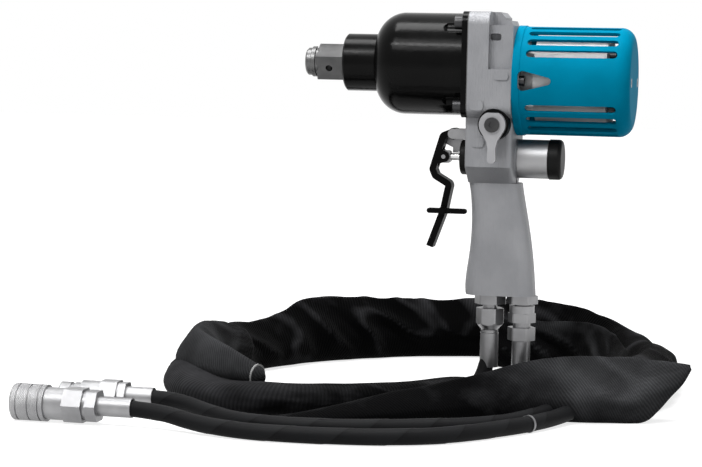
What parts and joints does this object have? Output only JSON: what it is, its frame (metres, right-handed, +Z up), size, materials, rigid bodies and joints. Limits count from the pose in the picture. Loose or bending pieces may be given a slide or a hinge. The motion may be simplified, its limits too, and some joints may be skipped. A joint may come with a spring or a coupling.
{
  "type": "hydraulic impact wrench",
  "caption": "Pistol-grip hydraulic impact wrench with square drive, slotted motor guard, trigger linkage, reversing lever, and a sleeved hose pair with quick couplers.",
  "frame": {"origin": "middle of the footprint of the tool and its hose sleeve, on the floor that it stands on", "axes": "-X along the square drive, towards its tip; +Y away from the reversing lever's side; +Z up"},
  "size_m": [0.5848, 0.6384, 0.3778],
  "materials": {
    "drive_steel": "satin, ground faces",
    "spring_ring": "satin",
    "rubber": "matt",
    "case_black": "gloss black enamel over a casting",
    "gasket": "matt fibre",
    "black_oxide": "black oxide",
    "bronze": "turned",
    "hammer_steel": "forged and ground, oiled",
    "gear_steel": "ground",
    "housing_cast": "bead-blasted casting, satin",
    "motor_cast": "cast, oiled",
    "guard_blue": "gloss teal enamel",
    "chrome": "polished",
    "cap_black": "semi-gloss black",
    "zinc": "zinc plated",
    "lever_black": "satin black",
    "lever_cast": "cast, satin",
    "hose_black": "wrapped rubber",
    "sleeve_fabric": "woven, matt"
  },
  "bodies": {
    "tool": {"hammer_case": "case_black", "case_gasket": "gasket", "case_screws": "black_oxide", "nose_bushing": "bronze", "nose_seal": "rubber", "motor_front_cover": "motor_cast", "motor_body": "motor_cast", "motor_rear_cover": "motor_cast", "motor_through_bolts": "black_oxide", "motor_mount_screws": "black_oxide", "motor_guard": "guard_blue", "guard_screws": "zinc", "main_housing": "housing_cast", "shaft_bearing": "gear_steel", "shaft_seal": "rubber", "spool_gland": "cap_black", "valve_cylinder": "chrome", "valve_cap": "cap_black", "spool_spring": "spring_ring", "trigger_bracket": "zinc", "trigger_pin": "zinc", "reversing_plate": "lever_black", "left_adapter": "zinc", "left_swivel_nut": "zinc", "left_hose_tail": "zinc", "left_ferrule": "zinc", "right_adapter": "zinc", "right_union_nut": "zinc", "right_hose_tail": "zinc", "right_ferrule": "zinc", "pressure_hose": "hose_black", "return_hose": "hose_black", "hose_sleeve": "sleeve_fabric", "female_coupler_body": "zinc", "female_lock_nut": "zinc", "female_ferrule": "zinc", "male_coupler_body": "zinc", "male_ferrule": "zinc"},
    "anvil_body": {"anvil": "drive_steel", "retainer_ring": "spring_ring", "retainer_o_ring": "rubber"},
    "hammers": {"hammer_cage": "hammer_steel", "hammer_pins": "hammer_steel", "front_hammer": "hammer_steel", "rear_hammer": "hammer_steel"},
    "motor_drive": {"drive_gear_shaft": "gear_steel"},
    "motor_idler": {"idler_gear": "gear_steel"},
    "trigger": {"trigger_lever": "lever_black", "link_pin": "zinc", "catch_pin": "zinc"},
    "catch": {"trigger_catch": "lever_black"},
    "valve_spool": {"spool": "gear_steel", "spool_link": "zinc"},
    "reverser": {"reversing_spool": "gear_steel", "reversing_lever": "lever_cast", "reversing_screw": "black_oxide"},
    "locking_sleeve": {"coupler_sleeve": "zinc"},
    "female_valve": {"female_poppet": "zinc"},
    "male_valve": {"male_poppet": "zinc"}
  },
  "joints": [
    {"name": "hammer_spin", "type": "hinge", "parent": "tool", "child": "hammers", "pos_m": [0.047, -0.106, 0.328], "axis": [1, 0, 0], "continuous": true},
    {"name": "anvil_spin", "type": "hinge", "parent": "tool", "child": "anvil_body", "pos_m": [0.047, -0.106, 0.328], "axis": [1, 0, 0], "continuous": true},
    {"name": "motor_spin", "type": "hinge", "parent": "tool", "child": "motor_drive", "pos_m": [0.047, -0.106, 0.328], "axis": [1, 0, 0], "continuous": true},
    {"name": "idler_spin", "type": "hinge", "parent": "tool", "child": "motor_idler", "pos_m": [0.047, -0.106, 0.2994], "axis": [1, 0, 0], "continuous": true},
    {"name": "trigger_pull", "type": "hinge", "parent": "tool", "child": "trigger", "pos_m": [0.0274, -0.106, 0.2616], "axis": [0, -1, 0], "range_deg": [0, 14], "stiffness_Nm_per_rad": 0.6, "springref_deg": -17.19},
    {"name": "catch_tip", "type": "hinge", "parent": "trigger", "child": "catch", "pos_m": [0.0192, -0.106, 0.1877], "axis": [0, -1, 0], "range_deg": [0, 99]},
    {"name": "spool_slide", "type": "slide", "parent": "tool", "child": "valve_spool", "axis": [1, 0, 0], "range_m": [0, 0.0058], "deforming": ["spool_spring"]},
    {"name": "reversing_turn", "type": "hinge", "parent": "tool", "child": "reverser", "pos_m": [0.0728, -0.106, 0.2724], "axis": [0, 1, 0], "range_deg": [0, 90]},
    {"name": "locking_sleeve_slide", "type": "slide", "parent": "tool", "child": "locking_sleeve", "axis": [1, 0, 0], "range_m": [0, 0.006], "stiffness_N_per_m": 1500, "springref_m": -0.004},
    {"name": "female_valve_slide", "type": "slide", "parent": "tool", "child": "female_valve", "axis": [1, 0, 0], "range_m": [0, 0.005], "stiffness_N_per_m": 1500, "springref_m": -0.004},
    {"name": "male_valve_slide", "type": "slide", "parent": "tool", "child": "male_valve", "axis": [1, 0, 0], "range_m": [0, 0.005], "stiffness_N_per_m": 1500, "springref_m": -0.004}
  ],
  "couplings": [
    {"joint": "anvil_spin", "follows": "hammer_spin", "ratio": 1},
    {"joint": "motor_spin", "follows": "hammer_spin", "ratio": 1},
    {"joint": "idler_spin", "follows": "hammer_spin", "ratio": -1},
    {"joint": "catch_tip", "follows": "trigger_pull", "ratio": 7},
    {"joint": "spool_slide", "follows": "trigger_pull", "m_per_rad": 0.0231}
  ]
}
